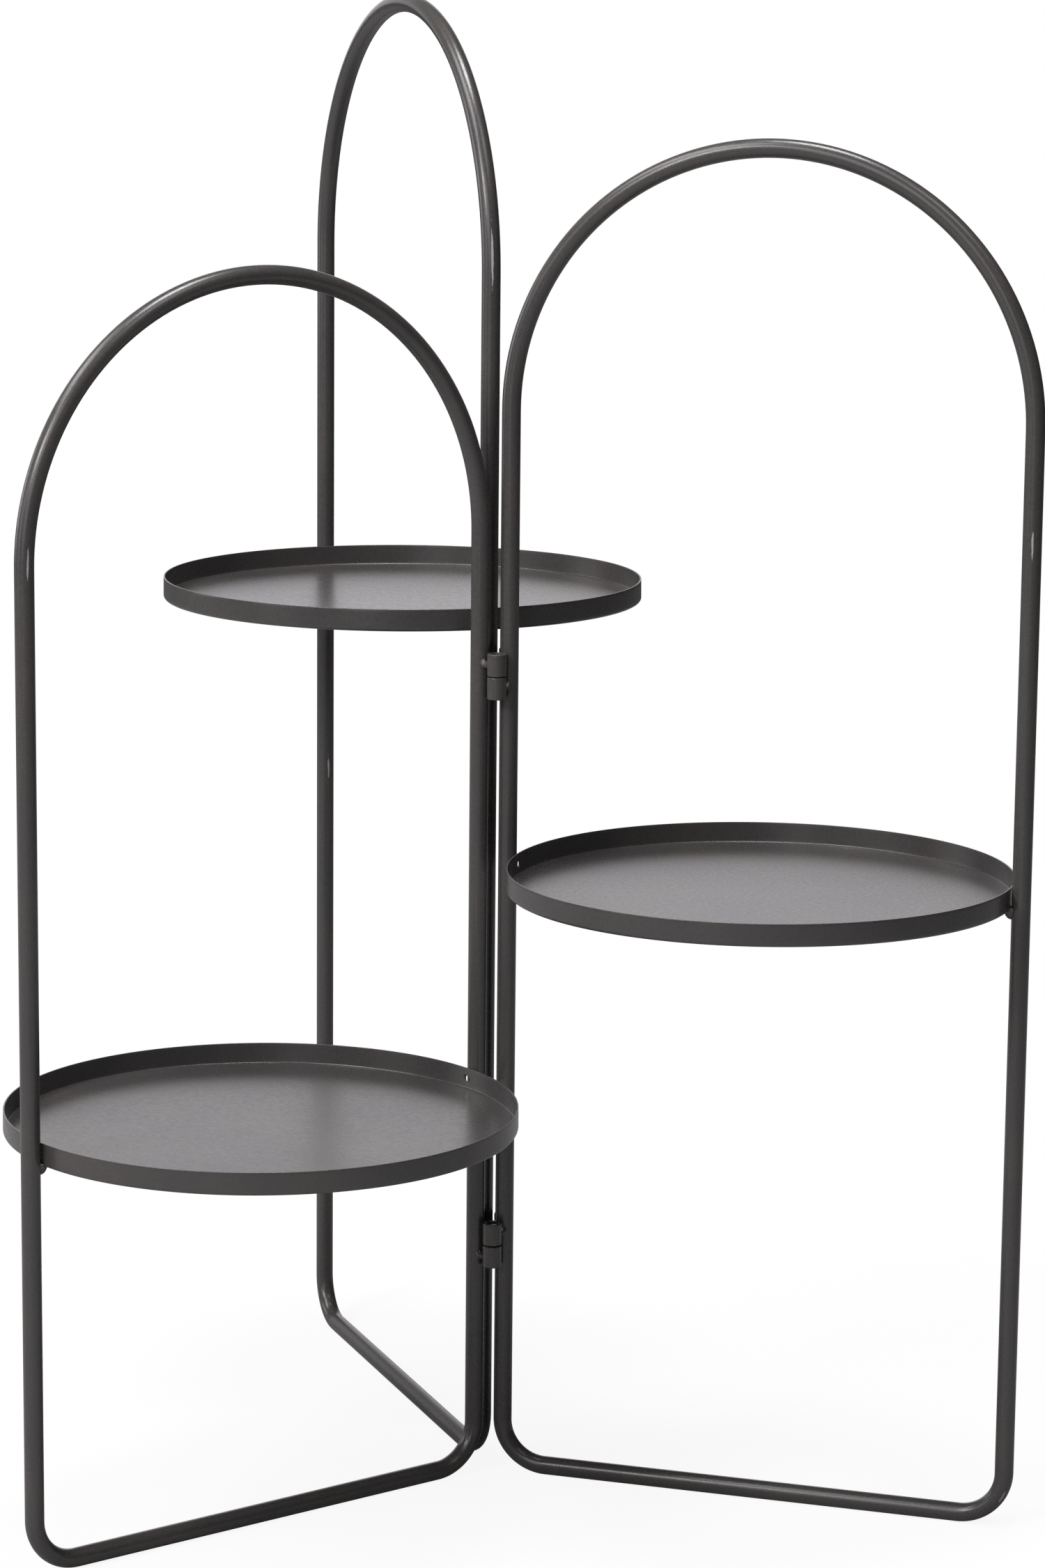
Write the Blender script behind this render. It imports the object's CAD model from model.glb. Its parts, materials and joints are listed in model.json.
import json
import math

import bmesh
import bpy
import numpy as np
from mathutils import Matrix, Vector, noise


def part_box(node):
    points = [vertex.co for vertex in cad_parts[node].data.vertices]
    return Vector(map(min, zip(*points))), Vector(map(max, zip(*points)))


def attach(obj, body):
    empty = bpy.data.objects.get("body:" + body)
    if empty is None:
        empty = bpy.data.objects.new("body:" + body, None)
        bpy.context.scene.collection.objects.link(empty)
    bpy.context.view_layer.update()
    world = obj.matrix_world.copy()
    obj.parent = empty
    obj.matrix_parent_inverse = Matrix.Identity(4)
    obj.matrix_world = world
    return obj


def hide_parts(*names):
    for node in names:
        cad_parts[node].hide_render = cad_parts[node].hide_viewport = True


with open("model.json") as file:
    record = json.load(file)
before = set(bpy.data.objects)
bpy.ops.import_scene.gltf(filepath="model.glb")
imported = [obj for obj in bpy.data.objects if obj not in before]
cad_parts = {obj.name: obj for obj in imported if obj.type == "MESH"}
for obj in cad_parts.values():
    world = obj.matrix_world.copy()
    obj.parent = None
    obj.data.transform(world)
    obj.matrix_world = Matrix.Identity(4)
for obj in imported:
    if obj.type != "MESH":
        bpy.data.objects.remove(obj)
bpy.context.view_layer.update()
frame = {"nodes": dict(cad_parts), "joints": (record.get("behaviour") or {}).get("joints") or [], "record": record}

# ---------------------------------------------------------------- tube frames
# Three closed loops of thin round steel tube, bent cold over a former and welded
# shut, then powder-coated dark warm grey with everything that is welded to them.
# Each stands on its bottom bar, with small bends at the foot and a half-round arch.

MM = 0.001
LEAVES = ("right", "left", "back")
TUBE_SIDES = 48
LEG_STEP = 5 * MM
ARCH_STEP = math.radians(2)
FOOT_STEP = math.radians(3)
FOOT_BEND = 25 * MM
FOOT_FLATTENING = 0.45 * MM
FOOT_BULGE = 0.08 * MM

right_low, right_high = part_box("right_frame")
TUBE_RADIUS = (right_high.y - right_low.y) / 2
LEG_SPACING = right_high.x - right_low.x - 2 * TUBE_RADIUS
ARCH_RADIUS = LEG_SPACING / 2

pins_at = {joint["child"]: Vector(joint["pos_m"]) for joint in frame["joints"]}
trays_at = {mount["name"]: Vector(mount["pos_m"]) for mount in frame["record"]["mounts"]}


def leaf_place(leaf):
    """The matrix that carries a leaf from its own axes, hinge-side leg at the origin
    and frame along +X, to its place on the stand."""
    if leaf == "right":
        return Matrix.Identity(4)
    pin = pins_at[leaf].to_2d()
    middle = trays_at[f"{leaf}_tray_floor"].to_2d()
    reach, aside = ARCH_RADIUS - pin.x, abs(pin.y)
    lag = math.atan2(aside, reach) * (1 if leaf == "left" else -1)
    across = middle - pin
    angle = math.atan2(across.y, across.x) + lag
    leg = middle - ARCH_RADIUS * Vector((math.cos(angle), math.sin(angle)))
    return Matrix.Translation(leg.to_3d()) @ Matrix.Rotation(angle, 4, "Z")


def tube_stations(height):
    """Points round the closed loop: x, z, the outward normal in the leaf's plane, and
    how far into a foot bend the point is, from 0 to 1."""
    rise = height - TUBE_RADIUS - ARCH_RADIUS
    low = TUBE_RADIUS + FOOT_BEND
    leg_count = round((rise - low) / LEG_STEP)
    bar_count = round((LEG_SPACING - 2 * FOOT_BEND) / LEG_STEP)
    arch_count = round(math.pi / ARCH_STEP)
    foot_count = round(math.pi / 2 / FOOT_STEP)
    stations = []
    for z in np.linspace(low, rise, leg_count, endpoint=False):
        stations.append((0, z, -1, 0, 0))
    for turn in np.linspace(math.pi, 0, arch_count, endpoint=False):
        c, s = math.cos(turn), math.sin(turn)
        stations.append((ARCH_RADIUS * (1 + c), rise + ARCH_RADIUS * s, c, s, 0))
    for z in np.linspace(rise, low, leg_count, endpoint=False):
        stations.append((LEG_SPACING, z, 1, 0, 0))
    for share in np.linspace(0, 1, foot_count, endpoint=False):
        c, s = math.cos(-math.pi / 2 * share), math.sin(-math.pi / 2 * share)
        x = LEG_SPACING - FOOT_BEND * (1 - c)
        stations.append((x, low + FOOT_BEND * s, c, s, math.sin(math.pi * share)))
    for x in np.linspace(LEG_SPACING - FOOT_BEND, FOOT_BEND, bar_count, endpoint=False):
        stations.append((x, TUBE_RADIUS, 0, -1, 0))
    for share in np.linspace(0, 1, foot_count, endpoint=False):
        c, s = math.cos(-math.pi / 2 * (1 + share)), math.sin(-math.pi / 2 * (1 + share))
        x = FOOT_BEND * (1 + c)
        stations.append((x, low + FOOT_BEND * s, c, s, math.sin(math.pi * share)))
    return stations


def mesh_object(name, points, faces):
    mesh = bpy.data.meshes.new(name)
    mesh.from_pydata([tuple(p) for p in points], [], faces)
    mesh.validate()
    mesh.update()
    mesh.shade_smooth()
    piece = bpy.data.objects.new(name, mesh)
    bpy.context.scene.collection.objects.link(piece)
    return piece


def wrapped_faces(rings, sides, closed):
    """Quads between rings of equally many points."""
    faces = []
    for ring in range(rings if closed else rings - 1):
        after = (ring + 1) % rings
        for side in range(sides):
            nxt = (side + 1) % sides
            faces.append((ring * sides + side, after * sides + side,
                          after * sides + nxt, ring * sides + nxt))
    return faces


def add_uv(piece, around, along, sides, rings):
    """UVs in metres: u round the tube and v along it, unbroken at the seams."""
    layer = piece.data.uv_layers.new(name="run")
    for polygon in piece.data.polygons:
        corners = [piece.data.loops[i].vertex_index for i in polygon.loop_indices]
        ring_of = [c // sides for c in corners]
        side_of = [c % sides for c in corners]
        for i, loop in enumerate(polygon.loop_indices):
            ring = ring_of[i]
            side = side_of[i]
            if ring == 0 and max(ring_of) == rings - 1:
                ring = rings
            if side == 0 and max(side_of) == sides - 1:
                side = sides
            layer.data[loop].uv = (around[side], along[ring])


def make_frame(leaf):
    low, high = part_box(f"{leaf}_frame")
    stations = tube_stations(high.z)
    place = leaf_place(leaf)
    points = []
    for x, z, nx, nz, bend in stations:
        for side in range(TUBE_SIDES):
            turn = 2 * math.pi * side / TUBE_SIDES
            c, s = math.cos(turn), math.sin(turn)
            out = TUBE_RADIUS * c
            if c < 0:
                out -= FOOT_FLATTENING * bend * c
            spread = (TUBE_RADIUS + FOOT_BULGE * bend) * s
            points.append(place @ Vector((x + nx * out, spread, z + nz * out)))
    faces = wrapped_faces(len(stations), TUBE_SIDES, closed=True)
    piece = mesh_object(f"{leaf}_tube_frame", points, faces)
    along = [0.0]
    for here, there in zip(stations, stations[1:] + stations[:1]):
        along.append(along[-1] + math.hypot(there[0] - here[0], there[1] - here[1]))
    around = [2 * math.pi * TUBE_RADIUS * side / TUBE_SIDES for side in range(TUBE_SIDES + 1)]
    add_uv(piece, around, along, TUBE_SIDES, len(stations))
    return piece


def feed(tree, sockets, values):
    """Puts each value into its socket, as a link or as a number."""
    for socket, value in zip(sockets, values):
        if isinstance(value, bpy.types.NodeSocket):
            tree.links.new(value, socket)
        else:
            socket.default_value = value


def combine(tree, kind, *values):
    """One step of arithmetic."""
    node = tree.nodes.new("ShaderNodeMath")
    node.operation = kind
    feed(tree, node.inputs, values)
    return node.outputs["Value"]


def combine_vectors(tree, kind, *values):
    """One step of vector arithmetic; SCALE takes its factor as the second value."""
    node = tree.nodes.new("ShaderNodeVectorMath")
    node.operation = kind
    sockets = (node.inputs[0], node.inputs["Scale"]) if kind == "SCALE" else node.inputs
    feed(tree, sockets, values)
    return node.outputs["Value" if kind in ("LENGTH", "DOT_PRODUCT") else "Vector"]


def stretch(tree, value, low, high, to_low, to_high, kind="LINEAR"):
    """Carries a value from one range to another."""
    node = tree.nodes.new("ShaderNodeMapRange")
    node.interpolation_type = kind
    sockets = [node.inputs[name] for name in ("Value", "From Min", "From Max", "To Min", "To Max")]
    feed(tree, sockets, (value, low, high, to_low, to_high))
    return node.outputs["Result"]


def mixed(tree, share, first, second):
    """The first colour where share is 0, the second where it is 1."""
    node = tree.nodes.new("ShaderNodeMix")
    node.data_type = "RGBA"
    feed(tree, [node.inputs[name] for name in ("Factor", "A", "B")], (share, first, second))
    return node.outputs["Result"]


def cloud(tree, vector, scale, detail=2.0):
    node = tree.nodes.new("ShaderNodeTexNoise")
    node.inputs["Scale"].default_value = scale
    node.inputs["Detail"].default_value = detail
    tree.links.new(vector, node.inputs["Vector"])
    return node.outputs["Fac"]


def node_group(name, inputs, outputs):
    """A node group with these sockets, and its two ends."""
    group = bpy.data.node_groups.new(name, "ShaderNodeTree")
    for direction, sockets in (("INPUT", inputs), ("OUTPUT", outputs)):
        for socket, kind in sockets.items():
            group.interface.new_socket(name=socket, in_out=direction, socket_type=kind)
    return group, group.nodes.new("NodeGroupInput"), group.nodes.new("NodeGroupOutput")


# The coat's three noises, in waves per metre: fine grain, orange peel and a broad
# change of tone. Then how strongly they act on its colour, roughness and height.
GRAIN_SCALE = 1500.0
PEEL_SCALE = 420.0
BROAD_SCALE = 18.0
BROAD_DETAIL = 3.0
BROAD_RANGE = (0.35, 0.65)
NOISE_RANGE = (0.3, 0.7)
GRAIN_SHADE = (-0.5, 0.5)
PEEL_SHADE = (-0.25, 0.25)
PEEL_ROUGHNESS = (-0.03, 0.03)
GRAIN_HEIGHT = 0.45


def powder_coat_group():
    """Mottled satin powder coat: a colour, a roughness and a height from three
    noises, in the piece's own metres."""
    group, come, go = node_group(
        "satin_powder_coat",
        {"Tone": "NodeSocketColor", "Warm Tone": "NodeSocketColor",
         "Speckle": "NodeSocketFloat", "Roughness": "NodeSocketFloat"},
        {"Colour": "NodeSocketColor", "Roughness": "NodeSocketFloat", "Height": "NodeSocketFloat"})
    where = group.nodes.new("ShaderNodeTexCoord").outputs["Object"]
    grain = cloud(group, where, GRAIN_SCALE)
    peel = cloud(group, where, PEEL_SCALE)
    broad = cloud(group, where, BROAD_SCALE, BROAD_DETAIL)
    warmth = stretch(group, broad, *BROAD_RANGE, 0.0, 1.0)
    tone = mixed(group, warmth, come.outputs["Tone"], come.outputs["Warm Tone"])
    fleck = combine(group, "ADD", stretch(group, grain, *NOISE_RANGE, *GRAIN_SHADE),
                    stretch(group, peel, *NOISE_RANGE, *PEEL_SHADE))
    gain = combine(group, "ADD", combine(group, "MULTIPLY", fleck, come.outputs["Speckle"]), 1.0)
    rough = combine(group, "ADD", come.outputs["Roughness"],
                    stretch(group, peel, *NOISE_RANGE, *PEEL_ROUGHNESS))
    height = combine(group, "ADD", combine(group, "MULTIPLY", grain, GRAIN_HEIGHT), peel)
    group.links.new(combine_vectors(group, "SCALE", tone, gain), go.inputs["Colour"])
    group.links.new(rough, go.inputs["Roughness"])
    group.links.new(height, go.inputs["Height"])
    return group


def rub_mark_group():
    """One long rubbed patch on a tube: 1 in its middle, 0 past its rim."""
    group, come, go = node_group(
        "rub_mark",
        {"Run": "NodeSocketVector", "Centre": "NodeSocketVector", "Reach": "NodeSocketVector"},
        {"Mask": "NodeSocketFloat"})
    away = combine_vectors(group, "SUBTRACT", come.outputs["Run"], come.outputs["Centre"])
    share = combine_vectors(group, "DIVIDE", away, come.outputs["Reach"])
    size = combine_vectors(group, "LENGTH", share)
    group.links.new(stretch(group, size, 1.0, 0.0, 0.0, 1.0), go.inputs["Mask"])
    return group


COAT = powder_coat_group()
COAT_SPECKLE = 0.15
COAT_RELIEF = 0.006 * MM
COAT_SPECULAR = 0.5
FRAME_TONES = ((0.050, 0.048, 0.047), (0.060, 0.056, 0.052))

# Streaks and flecks are noise drawn out along the tube, in waves per metre across
# and along it.
STREAK_WAVES = (1400, 22, 1)
STREAK_SHADE = (0.92, 1.08)
FLECK_WAVES = (1500, 230, 1)

# Where the coating is rubbed through to pale metal: how far round the loop from the
# foot of the hinge-side leg, degrees round the tube from its outer side, half-length
# and half-width. Flecks break up a mark's rim.
RUB_MARK = rub_mark_group()
RUB_MARKS = {
    "right": ((1052.8 * MM, 282, 12 * MM, 0.8 * MM), (1560.7 * MM, 310, 6 * MM, 0.6 * MM)),
    "left": ((927.5 * MM, 80, 12 * MM, 0.8 * MM),),
    "back": ((1375.8 * MM, 185, 10 * MM, 0.8 * MM), (634 * MM, 12, 24 * MM, 0.9 * MM)),
}
RUB_WEIGHT = 1.2
RUB_RANGE = (0.88, 1.02)
RUB_COVER = 0.9
RUBBED_PALE = (0.40, 0.395, 0.39, 1)


def coated(name, tone, warm, roughness=0.28):
    """A powder-coated material with its own tones."""
    material = bpy.data.materials.new(name)
    material.use_nodes = True
    tree = material.node_tree
    shader = tree.nodes["Principled BSDF"]
    group = tree.nodes.new("ShaderNodeGroup")
    group.node_tree = COAT
    group.inputs["Tone"].default_value = (*tone, 1)
    group.inputs["Warm Tone"].default_value = (*warm, 1)
    group.inputs["Speckle"].default_value = COAT_SPECKLE
    group.inputs["Roughness"].default_value = roughness
    relief = tree.nodes.new("ShaderNodeBump")
    relief.inputs["Strength"].default_value = 1.0
    relief.inputs["Distance"].default_value = COAT_RELIEF
    shader.inputs["Specular IOR Level"].default_value = COAT_SPECULAR
    tree.links.new(group.outputs["Colour"], shader.inputs["Base Color"])
    tree.links.new(group.outputs["Roughness"], shader.inputs["Roughness"])
    tree.links.new(group.outputs["Height"], relief.inputs["Height"])
    tree.links.new(relief.outputs["Normal"], shader.inputs["Normal"])
    return material


def drawn_out(tree, run, waves):
    """Noise drawn out along the tube, from the UVs in metres."""
    return cloud(tree, combine_vectors(tree, "MULTIPLY", run, waves), 1.0)


def tube_coat(leaf):
    """The frame's coat with faint lengthwise streaks and this frame's rub marks."""
    material = coated(f"{leaf}_frame_satin_coat", *FRAME_TONES)
    tree = material.node_tree
    base = tree.nodes["Principled BSDF"].inputs["Base Color"]
    uv_map = tree.nodes.new("ShaderNodeUVMap")
    uv_map.uv_map = "run"
    run = uv_map.outputs["UV"]
    streak = stretch(tree, drawn_out(tree, run, STREAK_WAVES), *NOISE_RANGE, *STREAK_SHADE)
    streaked = combine_vectors(tree, "SCALE", base.links[0].from_socket, streak)
    masks = []
    for along, side, half_length, half_width in RUB_MARKS[leaf]:
        mark = tree.nodes.new("ShaderNodeGroup")
        mark.node_tree = RUB_MARK
        mark.inputs["Centre"].default_value = (math.radians(side) * TUBE_RADIUS, along, 0)
        mark.inputs["Reach"].default_value = (half_width, half_length, 1)
        tree.links.new(run, mark.inputs["Run"])
        masks.append(mark.outputs["Mask"])
    worn = masks[0]
    for mask in masks[1:]:
        worn = combine(tree, "MAXIMUM", worn, mask)
    flecked = combine(tree, "MULTIPLY_ADD", worn, RUB_WEIGHT, drawn_out(tree, run, FLECK_WAVES))
    bare = stretch(tree, flecked, *RUB_RANGE, 0.0, RUB_COVER)
    tree.links.new(mixed(tree, bare, streaked, RUBBED_PALE), base)
    return material


for leaf in LEAVES:
    tube = make_frame(leaf)
    tube.data.materials.append(tube_coat(leaf))
    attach(tube, leaf)
    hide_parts(f"{leaf}_frame")

# ---------------------------------------------------------------------- trays
# Shallow round trays pressed from thin sheet steel, with a plain upright rim, a
# small bend at its foot and one hole through it beside the hinge-side leg.
# Each sits between the two legs of its frame and is welded to both.

SHEET = 0.8 * MM
TRAY_BEND = 0.8 * MM
RIM_EDGE = 0.25 * MM
HOLE_RADIUS = 2 * MM
DRILL_LENGTH = 6 * MM
DRILL_SIDES = 32
TRAY_SEGMENTS = 360
FLOOR_RINGS = (0.0, 0.08, 0.2, 0.35, 0.5, 0.64, 0.76, 0.86, 0.93)
RIM_RINGS = (0.3, 0.5, 0.7, 0.85)

# The floor is a little wavy and calms down towards its edge and up the rim's first
# quarter. The rim is a little out of round, most at its top.
FLOOR_WAVE = 0.12 * MM
FLOOR_WAVES = 22
FLOOR_CALMING = 6
FLOOR_FADE = 0.25
RIM_WAVE = 0.10 * MM
RIM_WAVES = 2.2
TRAY_SEED = 7.0
RIM_SEED = 3


def arc(cx, cz, radius, start, end, steps):
    """Points of an arc in a profile, from start to end in degrees."""
    return [(cx + radius * math.cos(math.radians(a)), cz + radius * math.sin(math.radians(a)))
            for a in np.linspace(start, end, steps)]


def tray_profile(radius, rim):
    """The tray's cut edge, from the middle of the underside, over the rim, to the
    middle of the floor."""
    outer_bend = TRAY_BEND + SHEET
    inner = radius - SHEET
    floor_rings = [radius * share for share in FLOOR_RINGS]
    profile = [(r, 0.0) for r in floor_rings]
    profile += arc(radius - outer_bend, outer_bend, outer_bend, -90, 0, 9)
    profile += [(radius, rim * share) for share in RIM_RINGS]
    profile += arc(radius - RIM_EDGE, rim - RIM_EDGE, RIM_EDGE, 0, 90, 5)
    profile += arc(inner + RIM_EDGE, rim - RIM_EDGE, RIM_EDGE, 90, 180, 5)
    profile += [(inner, rim * share) for share in reversed(RIM_RINGS)]
    profile += arc(inner - TRAY_BEND, SHEET + TRAY_BEND, TRAY_BEND, 0, -90, 8)
    profile += [(r, SHEET) for r in reversed(floor_rings)]
    return profile


def make_tray(leaf):
    low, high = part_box(f"{leaf}_tray")
    radius = (high.x - low.x) / 2
    rim = high.z - low.z
    middle = Vector(((low.x + high.x) / 2, (low.y + high.y) / 2, low.z))
    seed = TRAY_SEED * LEAVES.index(leaf)
    points = []
    faces = []
    rows = []
    for r, z in tray_profile(radius, rim):
        row = []
        for segment in range(1 if r == 0 else TRAY_SEGMENTS):
            turn = 2 * math.pi * segment / TRAY_SEGMENTS
            c, s = math.cos(turn), math.sin(turn)
            on_floor = max(0.0, 1 - z / (rim * FLOOR_FADE))
            calm = 1 - min(1.0, r / radius) ** FLOOR_CALMING
            wave = noise.noise(Vector((r * c, r * s, seed)) * FLOOR_WAVES) * 0.5 + 0.5
            lift = FLOOR_WAVE * wave * on_floor * calm
            dent = noise.noise(Vector((c * RIM_WAVES, s * RIM_WAVES, seed + RIM_SEED))) - 1
            sway = RIM_WAVE * dent * min(1.0, z / rim)
            row.append(len(points))
            points.append(middle + Vector(((r + sway) * c, (r + sway) * s, z + lift)))
        rows.append(row)
    for lower, upper in zip(rows, rows[1:]):
        for segment in range(TRAY_SEGMENTS):
            nxt = (segment + 1) % TRAY_SEGMENTS
            if len(lower) == 1:
                faces.append((lower[0], upper[nxt], upper[segment]))
            elif len(upper) == 1:
                faces.append((lower[segment], lower[nxt], upper[0]))
            else:
                faces.append((lower[segment], lower[nxt], upper[nxt], upper[segment]))
    piece = mesh_object(f"{leaf}_round_tray", points, faces)
    return piece, middle, radius, rim


def apply_modifiers(piece):
    bpy.context.view_layer.update()
    seen = piece.evaluated_get(bpy.context.evaluated_depsgraph_get())
    mesh = bpy.data.meshes.new_from_object(seen)
    old = piece.data
    piece.modifiers.clear()
    piece.data = mesh
    bpy.data.meshes.remove(old)


def cut_hang_hole(piece, middle, radius, rim, leaf):
    """The hole through the rim, drilled towards the hinge-side leg."""
    leg = leaf_place(leaf).translation.to_2d()
    out = (leg - middle.to_2d()).normalized()
    across = Matrix.Rotation(math.pi / 2, 4, "Y")
    aim = Matrix.Rotation(math.atan2(out.y, out.x), 4, "Z") @ across
    spot = Matrix.Translation(middle + (out * radius).to_3d() + Vector((0, 0, rim / 2)))
    drill = bpy.data.meshes.new("drill")
    shape = bmesh.new()
    bmesh.ops.create_cone(shape, cap_ends=True, segments=DRILL_SIDES, radius1=HOLE_RADIUS,
                          radius2=HOLE_RADIUS, depth=DRILL_LENGTH, matrix=spot @ aim)
    shape.to_mesh(drill)
    shape.free()
    tool = bpy.data.objects.new("drill", drill)
    bpy.context.scene.collection.objects.link(tool)
    cut = piece.modifiers.new("hang_hole", "BOOLEAN")
    cut.operation = "DIFFERENCE"
    cut.solver = "EXACT"
    cut.object = tool
    apply_modifiers(piece)
    bpy.data.objects.remove(tool)
    bpy.data.meshes.remove(drill)


TRAY_COAT = coated("tray_satin_coat", (0.046, 0.044, 0.044), (0.056, 0.052, 0.049))

for leaf in LEAVES:
    tray, tray_middle, tray_radius, tray_rim = make_tray(leaf)
    cut_hang_hole(tray, tray_middle, tray_radius, tray_rim, leaf)
    tray.data.materials.append(TRAY_COAT)
    tray.data.shade_smooth()
    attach(tray, leaf)
    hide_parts(f"{leaf}_tray")

# ---------------------------------------------------------------- weld beads
# Short lumpy beads laid by hand: one under each side of a tray against its leg, and
# one beside each hinge knuckle. The coating has flowed over them and rounds them.

SAME_CORNER = 0.001 * MM
BEAD_VOXEL = 0.25 * MM
BEAD_SMOOTHING = 0.6
BEAD_SMOOTHINGS = 4
TRAY_BEAD_SWELL = 0.16 * MM
HINGE_BEAD_SWELL = 0.05 * MM
BEAD_LUMPS = 0.12 * MM
LARGE_LUMPS = 700
SMALL_LUMPS = 1900
DROP_FINENESS = 3

# A hinge bead runs from its leg to its knuckle. Each drop: how far towards the leg,
# how far towards the pin, how far up, and its radius.
HINGE_DROPS = (
    (1.4 * MM, 0, 1.2 * MM, 1.75 * MM),
    (0.7 * MM, 0, 0.7 * MM, 1.85 * MM),
    (0, 0, 0.1 * MM, 1.95 * MM),
    (0, 1.0 * MM, -0.3 * MM, 1.95 * MM),
    (0, 2.0 * MM, -0.5 * MM, 1.8 * MM),
    (1.9 * MM, 0, -1.5 * MM, 0.9 * MM),
)


def joined(mesh):
    """A mesh's forms with the corners they repeat made one."""
    shape = bmesh.new()
    shape.from_mesh(mesh)
    bmesh.ops.remove_doubles(shape, verts=shape.verts, dist=SAME_CORNER)
    return shape


def islands(mesh):
    """Lowest and highest corner of each separate part of a mesh."""
    shape = joined(mesh)
    waiting = set(shape.verts)
    found = []
    while waiting:
        front = [waiting.pop()]
        part = []
        while front:
            vertex = front.pop()
            part.append(vertex.co.copy())
            for edge in vertex.link_edges:
                other = edge.other_vert(vertex)
                if other in waiting:
                    waiting.remove(other)
                    front.append(other)
        low = Vector([min(co[axis] for co in part) for axis in range(3)])
        high = Vector([max(co[axis] for co in part) for axis in range(3)])
        found.append((low, high))
    shape.free()
    return sorted(found, key=lambda corners: tuple(corners[0]))


def flow_over(name, shape, swell):
    """Turns closed forms into one piece with a softly lumpy skin."""
    mesh = bpy.data.meshes.new(name)
    shape.to_mesh(mesh)
    shape.free()
    piece = bpy.data.objects.new(name, mesh)
    bpy.context.scene.collection.objects.link(piece)
    skin = piece.modifiers.new("skin", "REMESH")
    skin.mode = "VOXEL"
    skin.voxel_size = BEAD_VOXEL
    soften = piece.modifiers.new("soften", "SMOOTH")
    soften.factor = BEAD_SMOOTHING
    soften.iterations = BEAD_SMOOTHINGS
    apply_modifiers(piece)
    normals = [v.normal.copy() for v in piece.data.vertices]
    for vertex, normal in zip(piece.data.vertices, normals):
        large = noise.noise(vertex.co * LARGE_LUMPS)
        small = noise.noise(vertex.co * SMALL_LUMPS)
        vertex.co += normal * (swell + BEAD_LUMPS * (large + 0.5 * small))
    piece.data.shade_smooth()
    return piece


def make_tray_beads(leaf, node):
    """The two fillets under a tray, one at each of its legs."""
    return flow_over(f"{node}_beads", joined(frame["nodes"][node].data), TRAY_BEAD_SWELL)


def make_hinge_beads(leaf, node):
    """One bead for each knuckle that is welded to this leaf's leg."""
    leg = leaf_place(leaf).translation.to_2d()
    up = Vector((0, 0, 1))
    shape = bmesh.new()
    for low, high in islands(frame["nodes"][node].data):
        middle = (low + high) / 2
        flat = middle.to_2d()
        pin = min((at.to_2d() for at in pins_at.values()), key=lambda at: (at - flat).length)
        to_leg = (leg - flat).normalized().to_3d()
        to_pin = (pin - flat).normalized().to_3d()
        for leg_way, pin_way, rise, radius in HINGE_DROPS:
            spot = middle + to_leg * leg_way + to_pin * pin_way + up * rise
            bmesh.ops.create_icosphere(shape, subdivisions=DROP_FINENESS, radius=radius,
                                       matrix=Matrix.Translation(spot))
    return flow_over(f"{node}_beads", shape, HINGE_BEAD_SWELL)


WELD_COAT = coated("weld_satin_coat", (0.050, 0.048, 0.046), (0.064, 0.060, 0.055), 0.27)

for leaf in LEAVES:
    for kind, make in (("tray", make_tray_beads), ("hinge", make_hinge_beads)):
        node = f"{leaf}_{kind}_welds"
        beads = make(leaf, node)
        beads.data.materials.append(WELD_COAT)
        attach(beads, leaf)
        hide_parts(node)

# ------------------------------------------------------------ hinge knuckles
# Short turned steel barrels, two to a hinge, one above the other. One is welded to
# each frame. The ends of their bores are rounded by the coating.

BARREL_SEGMENTS = 72
BARREL_RINGS = (0.25, 0.5, 0.75)
BORE_RINGS = (0.7, 0.3)
BORE_EDGE = 0.25 * MM
BARREL_EDGE = 0.5 * MM
TURNING_BORE = 3.25 * MM
HOLDING_BORE = 3.19 * MM

# The frame each knuckle is welded to: the right one, or None for the hinge's other.
KNUCKLE_RIDES = {
    ("upper", "top"): None, ("upper", "bottom"): "right",
    ("lower", "top"): "right", ("lower", "bottom"): None,
}


def turned(name, profile, middle, segments, closed):
    """A body of revolution about an upright line through middle."""
    rings = len(profile)
    points = []
    for r, z in profile:
        for segment in range(segments):
            turn = 2 * math.pi * segment / segments
            x, y = middle.x + r * math.cos(turn), middle.y + r * math.sin(turn)
            points.append((x, y, middle.z + z))
    faces = [(a, d, c, b) for a, b, c, d in wrapped_faces(rings, segments, closed)]
    if not closed:
        faces.append(tuple(reversed(range(segments))))
        faces.append(tuple(range((rings - 1) * segments, rings * segments)))
    return mesh_object(name, points, faces)


def knuckle_profile(radius, bore, length):
    edge = BARREL_EDGE
    lip = BORE_EDGE
    profile = [(bore, length - lip)]
    profile += [(bore, length * share) for share in BORE_RINGS]
    profile += [(bore, lip)]
    profile += arc(bore + lip, lip, lip, 180, 270, 5)
    profile += arc(radius - edge, edge, edge, -90, 0, 7)
    profile += [(radius, length * share) for share in BARREL_RINGS]
    profile += arc(radius - edge, length - edge, edge, 0, 90, 7)
    profile += arc(bore + lip, length - lip, lip, 90, 180, 5)[:-1]
    return profile


KNUCKLE_COAT = coated("knuckle_satin_coat", (0.050, 0.048, 0.046), (0.060, 0.056, 0.052), 0.27)

for leaf in ("left", "back"):
    for (level, part), body in KNUCKLE_RIDES.items():
        node = f"{leaf}_{level}_hinge_{part}_knuckle"
        low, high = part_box(node)
        middle = Vector(((low.x + high.x) / 2, (low.y + high.y) / 2, low.z))
        bore = HOLDING_BORE if part == "bottom" else TURNING_BORE
        profile = knuckle_profile((high.x - low.x) / 2, bore, high.z - low.z)
        barrel = turned(f"{node}_barrel", profile, middle, BARREL_SEGMENTS, closed=True)
        barrel.data.materials.append(KNUCKLE_COAT)
        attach(barrel, body or leaf)
        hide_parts(node)

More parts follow.
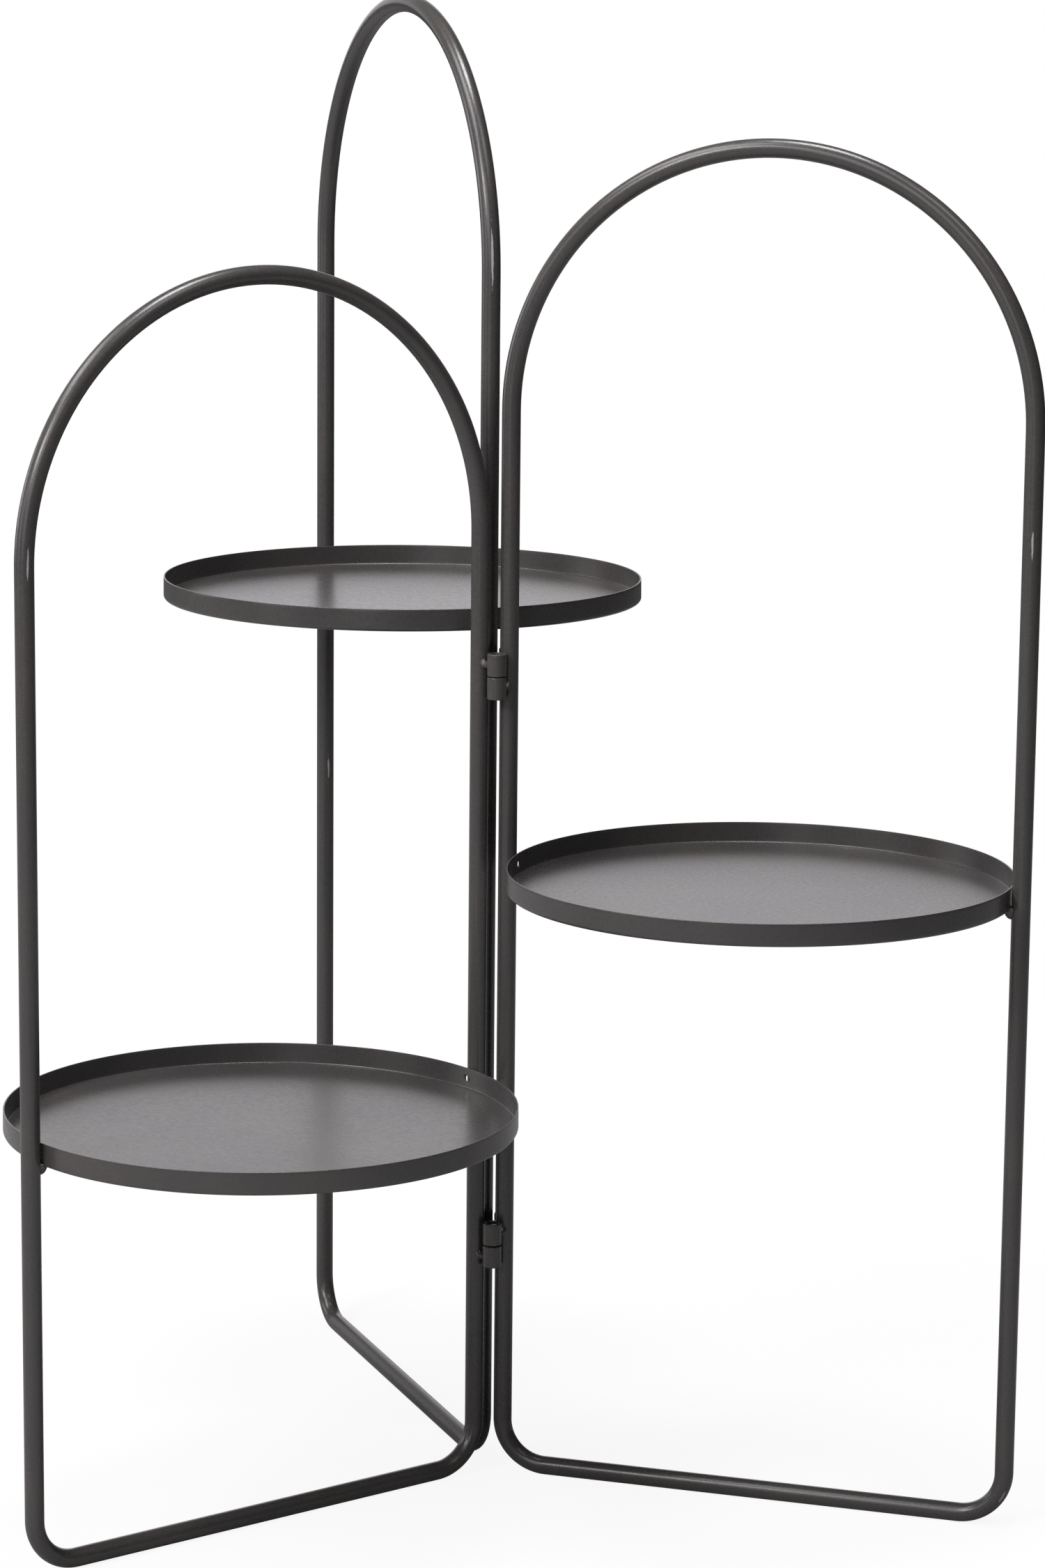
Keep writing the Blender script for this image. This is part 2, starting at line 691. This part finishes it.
# ----------------------------------------------------------------- hinge pins
# A plain steel pin in each hinge, pressed into the lower knuckle and sunk a little
# below both ends. Its ends are slightly domed, with the corner turned off.

PIN_SEGMENTS = 48
PIN_RADIUS = 3.2 * MM
PIN_DOME = 0.25 * MM
PIN_EDGE = 0.4 * MM

# From the middle of a pin's end outwards: share of its flat's radius, share of the
# dome's fall.
DOME_RINGS = ((0.2, 0.0), (0.6, 0.15), (1.0, 1.0))

PIN_COAT = coated("pin_satin_coat", (0.020, 0.019, 0.018), (0.026, 0.024, 0.022), 0.45)

for leaf in ("left", "back"):
    for level, body in (("upper", "right"), ("lower", leaf)):
        node = f"{leaf}_{level}_hinge_pin"
        low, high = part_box(node)
        length = high.z - low.z
        middle = Vector(((low.x + high.x) / 2, (low.y + high.y) / 2, low.z))
        side = PIN_RADIUS - PIN_EDGE
        profile = [(share * side, fall * PIN_DOME) for share, fall in DOME_RINGS]
        profile += arc(side, PIN_DOME + PIN_EDGE, PIN_EDGE, -80, 0, 5)
        profile += [(PIN_RADIUS, length / 2)]
        profile += arc(side, length - PIN_DOME - PIN_EDGE, PIN_EDGE, 0, 80, 5)
        profile += [(share * side, length - fall * PIN_DOME) for share, fall in reversed(DOME_RINGS)]
        pin = turned(f"{node}_rod", profile, middle, PIN_SEGMENTS, closed=False)
        pin.data.materials.append(PIN_COAT)
        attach(pin, body)
        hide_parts(node)

# ------------------------------------------------------------ floor and light
# A plain pale floor that fades into a white surround and keeps a faint shadow. Soft
# round lamps stand in an arc from the left round the front to the right, with the
# strongest one overhead.

FLOOR_SIZE = 30.0
FLOOR_CORNERS = ((-1, -1), (1, -1), (1, 1), (-1, 1))
FLOOR_GREY = (0.40, 0.40, 0.40, 1)
FLOOR_WHITE = (0.95, 0.95, 0.95, 1)
WHITE = (1, 1, 1, 1)
GLOW_NEAR = 0.90
GLOW_RADIUS = (0.35, 1.2)


def coloured(tree, kind, colour):
    """A shader node of one plain colour."""
    node = tree.nodes.new(kind)
    node.inputs["Color"].default_value = colour
    return node


def shader_mix(tree, share, first, second):
    """The first shader where share is 0, the second where it is 1."""
    node = tree.nodes.new("ShaderNodeMixShader")
    feed(tree, node.inputs, (share, first, second))
    return node.outputs["Shader"]


corners = [(x * FLOOR_SIZE, y * FLOOR_SIZE, 0) for x, y in FLOOR_CORNERS]
floor = mesh_object("floor", corners, [(0, 1, 2, 3)])
floor_paint = bpy.data.materials.new("pale_floor")
floor_paint.use_nodes = True
tree = floor_paint.node_tree
tree.nodes.remove(tree.nodes["Principled BSDF"])
glow = coloured(tree, "ShaderNodeEmission", WHITE)
matt = coloured(tree, "ShaderNodeBsdfDiffuse", FLOOR_WHITE)
grey = coloured(tree, "ShaderNodeBsdfDiffuse", FLOOR_GREY)
where = tree.nodes.new("ShaderNodeTexCoord").outputs["Object"]
distance = combine_vectors(tree, "LENGTH", where)
glowing = stretch(tree, distance, *GLOW_RADIUS, GLOW_NEAR, 1.0, "SMOOTHSTEP")
faded = shader_mix(tree, glowing, matt.outputs["BSDF"], glow.outputs["Emission"])
seen = tree.nodes.new("ShaderNodeLightPath").outputs["Is Camera Ray"]
painted = shader_mix(tree, seen, grey.outputs["BSDF"], faded)
tree.links.new(painted, tree.nodes["Material Output"].inputs["Surface"])
floor.data.materials.append(floor_paint)

# The surround is white to the lens and through glass. What the stand reflects and is
# lit by is a white wall behind it that fades out sideways and upwards.
WALL_AZIMUTH = 119
WALL_ELEVATION = 6
WALL_SPREAD = (0.70, 0.97)
WALL_FLATNESS = 1.65
WALL_WHITE = 1.26
WALL_TINT = (0.985, 0.96, 1.0, 1)


def towards(azimuth, elevation):
    """A direction from its azimuth, from +X towards +Y, and its elevation in degrees."""
    across, rise = math.radians(azimuth), math.radians(elevation)
    level = math.cos(rise)
    return Vector((math.cos(across) * level, math.sin(across) * level, math.sin(rise)))


world = bpy.data.worlds.new("studio")
bpy.context.scene.world = world
world.use_nodes = True
tree = world.node_tree
wall = tree.nodes["Background"]
wall.inputs["Color"].default_value = WALL_TINT
look = tree.nodes.new("ShaderNodeTexCoord").outputs["Generated"]
flatter = combine_vectors(tree, "MULTIPLY", look, (1, 1, WALL_FLATNESS))
level_look = combine_vectors(tree, "NORMALIZE", flatter)
facing = combine_vectors(tree, "DOT_PRODUCT", level_look, towards(WALL_AZIMUTH, WALL_ELEVATION))
lit = stretch(tree, facing, *WALL_SPREAD, 0.0, WALL_WHITE, "SMOOTHSTEP")
tree.links.new(lit, wall.inputs["Strength"])
white = coloured(tree, "ShaderNodeBackground", WHITE)
white.inputs["Strength"].default_value = 1.0
rays = tree.nodes.new("ShaderNodeLightPath").outputs
either = combine(tree, "MAXIMUM", rays["Is Camera Ray"], rays["Is Transmission Ray"])
surround = shader_mix(tree, either, wall.outputs["Background"], white.outputs["Background"])
tree.links.new(surround, tree.nodes["World Output"].inputs["Surface"])

# Azimuth, elevation, watts and width of each lamp.
LAMPS = {
    "overhead_lamp": (0, 88, 66, 1.1),
    "key_lamp": (246, 32, 34, 0.8),
    "high_key_lamp": (235, 55, 24, 1.1),
    "left_lamp": (200, 55, 25, 1.2),
    "low_left_lamp": (180, 12, 12, 1.2),
    "low_key_lamp": (225, 12, 7, 1.2),
    "low_front_lamp": (270, 12, 7, 1.2),
    "front_lamp": (270, 30, 10, 1.2),
    "right_lamp": (330, 55, 12, 1.2),
}
LAMP_DISTANCE = 3.0
LAMP_TINT = (1.0, 0.98, 0.995)
LAMPS_AIM = Vector((0, 0, 0.35))

for name, (azimuth, elevation, watts, width) in LAMPS.items():
    light = bpy.data.lights.new(name, "AREA")
    light.shape = "DISK"
    light.size = width
    light.energy = watts
    light.color = LAMP_TINT
    lamp = bpy.data.objects.new(name, light)
    bpy.context.scene.collection.objects.link(lamp)
    outward = towards(azimuth, elevation)
    lamp.location = LAMPS_AIM + outward * LAMP_DISTANCE
    lamp.rotation_euler = (-outward).to_track_quat("-Z", "Y").to_euler()
    lamp.visible_camera = False

# --------------------------------------------------------------------- camera
# The photograph's own viewpoint, found from the tubes' and trays' edges. It stands
# 2.3 m away, a little to the right, and looks down by 10 degrees.

EYE = Vector((0.70399, -2.23492, 0.81728))
YAW, PITCH, ROLL = (math.radians(angle) for angle in (-17.2966, -10.4676, 0.5436))
FOCAL_PIXELS = 6382.3
PHOTO_LONG_SIDE = 2251
SENSOR = 36.0

lens = bpy.data.cameras.new("camera")
lens.sensor_width = SENSOR
lens.lens = FOCAL_PIXELS * SENSOR / PHOTO_LONG_SIDE
camera = bpy.data.objects.new("camera", lens)
bpy.context.scene.collection.objects.link(camera)
flat = math.cos(PITCH)
forward = Vector((math.sin(YAW) * flat, math.cos(YAW) * flat, math.sin(PITCH)))
level = Vector((math.cos(YAW), -math.sin(YAW), 0))
above = level.cross(forward)
right_hand = math.cos(ROLL) * level + math.sin(ROLL) * above
upward = -math.sin(ROLL) * level + math.cos(ROLL) * above
turn = Matrix((right_hand, upward, -forward)).transposed().to_4x4()
camera.matrix_world = Matrix.Translation(EYE) @ turn
bpy.context.scene.camera = camera

bpy.context.scene.view_settings.view_transform = "Standard"
